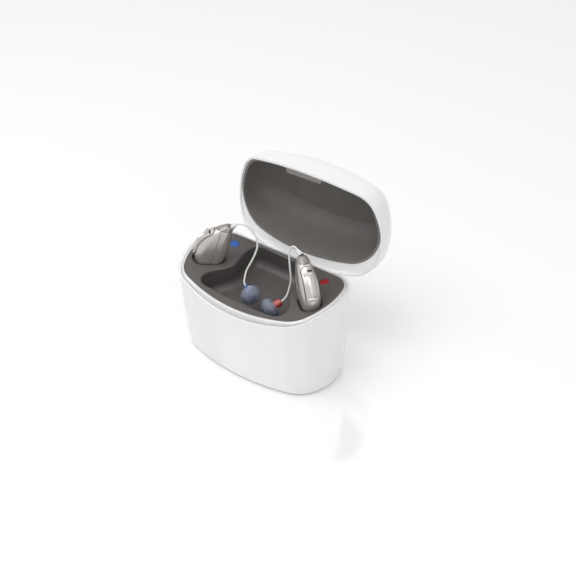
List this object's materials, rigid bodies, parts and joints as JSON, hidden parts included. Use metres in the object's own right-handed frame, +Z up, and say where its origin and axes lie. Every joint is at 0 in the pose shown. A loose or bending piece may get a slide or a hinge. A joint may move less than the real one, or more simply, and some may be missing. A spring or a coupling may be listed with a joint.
{
  "type": "hearing aid charger",
  "caption": "Small tabletop charging case with a hinged domed lid, a tray with docks and a wire well, and behind-the-ear hearing aids with thin wires and soft domes.",
  "frame": {"origin": "on the table, under the middle of the base", "axes": "+X to the user's right, +Y to the back, where the lid is hinged, +Z up"},
  "size_m": [0.084, 0.0823, 0.0888],
  "materials": {
    "white_shell": "glossy white moulding",
    "white_inner": "matt white moulding",
    "silver_collar": "satin silver-white lacquer",
    "dark_tray": "satin dark warm grey",
    "blue_mark": "blue",
    "red_mark": "dark red",
    "steel": "plain steel",
    "latch_steel": "blasted steel",
    "magnet": "nickel plated",
    "mat_rubber": "matt black",
    "board": "green solder mask",
    "cell_can": "plain can",
    "copper": "enamelled copper winding",
    "aid_silver": "silver-champagne lacquer",
    "aid_grey": "warm grey lacquer",
    "lamp": "clear lamp window",
    "wire_white": "white flexible tube",
    "receiver_blue": "blue",
    "receiver_red": "red",
    "dome_silicone": "translucent grey silicone"
  },
  "bodies": {
    "case": {"case_shell": "white_shell", "collar": "silver_collar", "tray": "dark_tray", "blue_marker": "blue_mark", "red_marker": "red_mark", "hinge_pin": "steel", "base_plate": "white_inner", "base_mat": "mat_rubber", "base_screws": "steel", "main_board": "board", "power_inlet": "steel", "power_cell": "cell_can", "left_coil": "copper", "right_coil": "copper", "front_magnet": "magnet"},
    "lid": {"lid_shell": "white_shell", "lid_liner": "dark_tray", "latch_plate": "latch_steel"},
    "left_aid": {"left_aid_spine_half": "aid_silver", "left_aid_belly_half": "aid_silver", "left_aid_cap": "aid_grey", "left_aid_cell": "cell_can", "left_wire_plug": "wire_white", "left_wire": "wire_white", "left_receiver": "receiver_blue", "left_dome": "dome_silicone"},
    "right_aid": {"right_aid_spine_half": "aid_silver", "right_aid_belly_half": "aid_silver", "right_aid_cap": "aid_grey", "right_aid_cell": "cell_can", "right_wire_plug": "wire_white", "right_wire": "wire_white", "right_receiver": "receiver_red", "right_dome": "dome_silicone"},
    "left_rocker": {"left_aid_rocker": "aid_silver", "left_lamp_window": "lamp"},
    "right_rocker": {"right_aid_rocker": "aid_silver", "right_lamp_window": "lamp"}
  },
  "joints": [
    {"name": "lid_hinge", "type": "hinge", "parent": "case", "child": "lid", "pos_m": [0, 0.0208, 0.04], "axis": [-1, 0, 0], "range_deg": [-97.4, 0]},
    {"name": "left_aid_lift", "type": "slide", "parent": "case", "child": "left_aid", "axis": [0, 0.1302, 0.9915], "range_m": [0, 0.032]},
    {"name": "right_aid_lift", "type": "slide", "parent": "case", "child": "right_aid", "axis": [0, 0.1302, 0.9915], "range_m": [0, 0.032]},
    {"name": "left_rocker_tilt", "type": "hinge", "parent": "left_aid", "child": "left_rocker", "pos_m": [-0.03042, -0.00788, 0.05622], "axis": [0.6451, -0.758, -0.0959], "range_deg": [-2, 2], "stiffness_Nm_per_rad": 0.03},
    {"name": "right_rocker_tilt", "type": "hinge", "parent": "right_aid", "child": "right_rocker", "pos_m": [0.03042, -0.00788, 0.05622], "axis": [0.6451, 0.758, 0.0959], "range_deg": [-2, 2], "stiffness_Nm_per_rad": 0.03}
  ]
}
